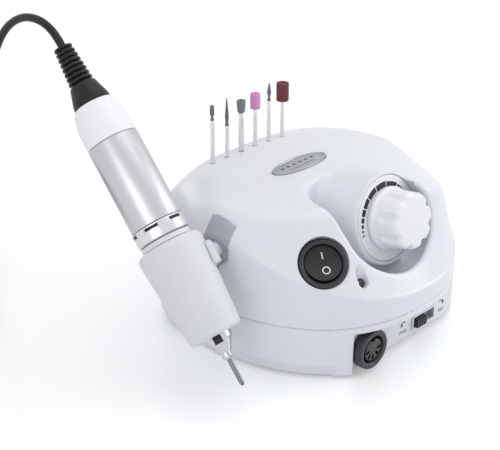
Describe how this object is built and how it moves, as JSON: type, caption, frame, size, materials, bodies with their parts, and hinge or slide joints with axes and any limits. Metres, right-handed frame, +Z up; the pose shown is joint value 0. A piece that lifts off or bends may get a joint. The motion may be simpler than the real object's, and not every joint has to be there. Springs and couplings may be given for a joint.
{
  "type": "electric nail drill",
  "caption": "Domed desk control unit with speed knob, switches and a bit rack, and a corded rotary handpiece resting in its side cradle.",
  "frame": {"origin": "on the table, under the middle of the control unit and handpiece together", "axes": "+X to the right seen from the front, -Y out of the front panel, +Z up"},
  "size_m": [0.2476, 0.2776, 0.1592],
  "materials": {
    "white_shell": "satin moulded plastic",
    "knob_white": "satin moulded plastic",
    "dial_white": "printed with a black scale and numbers",
    "black_plastic": "satin black",
    "soft_black": "soft matte black",
    "knuckle_grey": "satin grey",
    "badge_silver": "brushed silver with a raised rim",
    "led_red": "dark red lens",
    "polished_steel": "polished",
    "barrel_steel": "finely brushed",
    "milky_sleeve": "milky and slightly see-through",
    "white_cap": "satin",
    "iron": "laminated and varnished",
    "copper_winding": "varnished winding under tape",
    "board_green": "solder mask",
    "sleeve_blue": "shrunk sleeve",
    "aluminium": "mill finish",
    "grey_stone": "grainy silicone rubber",
    "pink_stone": "grainy silicone rubber",
    "sanding_brown": "abrasive grit",
    "foot_rubber": "matte",
    "tin_plate": "plated"
  },
  "bodies": {
    "control_unit": {"base_shell": "white_shell", "upper_shell": "white_shell", "front_panel": "white_shell", "din_socket_housing": "black_plastic", "din_socket_insert": "soft_black", "slide_switch_frame": "black_plastic", "badge": "badge_silver", "status_led": "led_red", "cradle_knuckle": "knuckle_grey", "cradle_fork": "milky_sleeve", "transformer_core": "iron", "transformer_coil": "copper_winding", "circuit_board": "board_green", "smoothing_capacitor": "sleeve_blue", "heat_sink": "aluminium", "mains_gland": "soft_black", "foot_front_left": "foot_rubber", "foot_front_right": "foot_rubber", "foot_back_left": "foot_rubber", "foot_back_right": "foot_rubber", "case_screw_front_left": "tin_plate", "case_screw_front_right": "tin_plate", "case_screw_back_left": "tin_plate", "case_screw_back_right": "tin_plate", "rocker_housing": "black_plastic", "dial_plate": "dial_white", "potentiometer": "tin_plate", "cord_coil": "soft_black", "din_plug_shell": "soft_black", "din_plug_core": "polished_steel"},
    "power_rocker": {"rocker_button": "black_plastic"},
    "direction_lever": {"slide_switch_lever": "black_plastic"},
    "speed_control": {"speed_knob": "knob_white", "potentiometer_shaft": "aluminium"},
    "rack_bit_1": {"bit_1_barrel": "polished_steel"},
    "rack_bit_2": {"bit_2_needle": "polished_steel"},
    "rack_bit_3": {"bit_3_mandrel": "polished_steel", "bit_3_grey_cone": "grey_stone"},
    "rack_bit_4": {"bit_4_mandrel": "polished_steel", "bit_4_pink_cylinder": "pink_stone"},
    "rack_bit_5": {"bit_5_flame": "polished_steel"},
    "rack_bit_6": {"bit_6_mandrel": "polished_steel", "bit_6_sanding_band": "sanding_brown"},
    "handpiece": {"rear_cap": "white_cap", "barrel": "barrel_steel", "grip_sleeve": "milky_sleeve", "front_housing": "white_cap", "nose_cone": "polished_steel", "motor_can": "iron", "front_bearing": "polished_steel", "rear_bearing": "polished_steel", "strain_relief": "soft_black", "cord_run": "soft_black"},
    "collet_ring": {"lock_ring": "polished_steel"},
    "spindle": {"collet": "polished_steel", "spindle_shaft": "polished_steel"},
    "working_bit": {"fitted_bit": "polished_steel"}
  },
  "joints": [
    {"name": "rocker_tilt", "type": "hinge", "parent": "control_unit", "child": "power_rocker", "pos_m": [-0.02429, -0.04122, 0.05833], "axis": [0.7841, -0.6207, 0], "range_deg": [0, 20]},
    {"name": "direction_slide", "type": "slide", "parent": "control_unit", "child": "direction_lever", "axis": [1, 0, 0], "range_m": [0, 0.008]},
    {"name": "speed_turn", "type": "hinge", "parent": "control_unit", "child": "speed_control", "pos_m": [0.02548, -0.03938, 0.0644], "axis": [0, -0.9703, 0.2419], "range_deg": [0, 270]},
    {"name": "bit_1_lift", "type": "slide", "parent": "control_unit", "child": "rack_bit_1", "axis": [0, 0, 1], "range_m": [0, 0.03]},
    {"name": "bit_2_lift", "type": "slide", "parent": "control_unit", "child": "rack_bit_2", "axis": [0, 0, 1], "range_m": [0, 0.03]},
    {"name": "bit_3_lift", "type": "slide", "parent": "control_unit", "child": "rack_bit_3", "axis": [0, 0, 1], "range_m": [0, 0.03]},
    {"name": "bit_4_lift", "type": "slide", "parent": "control_unit", "child": "rack_bit_4", "axis": [0, 0, 1], "range_m": [0, 0.03]},
    {"name": "bit_5_lift", "type": "slide", "parent": "control_unit", "child": "rack_bit_5", "axis": [0, 0, 1], "range_m": [0, 0.03]},
    {"name": "bit_6_lift", "type": "slide", "parent": "control_unit", "child": "rack_bit_6", "axis": [0, 0, 1], "range_m": [0, 0.03]},
    {"name": "handpiece_lift", "type": "slide", "parent": "control_unit", "child": "handpiece", "axis": [0, 0.6717, 0.7408], "range_m": [0, 0.065]},
    {"name": "collet_ring_turn", "type": "hinge", "parent": "handpiece", "child": "collet_ring", "pos_m": [-0.07552, -0.03778, 0.0153], "axis": [0, 0.6717, 0.7408], "range_deg": [0, 50]},
    {"name": "spindle_spin", "type": "hinge", "parent": "handpiece", "child": "spindle", "pos_m": [-0.07552, -0.03778, 0.0153], "axis": [0, 0.6717, 0.7408], "continuous": true},
    {"name": "working_bit_pull", "type": "slide", "parent": "spindle", "child": "working_bit", "axis": [0, -0.6717, -0.7408], "range_m": [0, 0.018]}
  ]
}
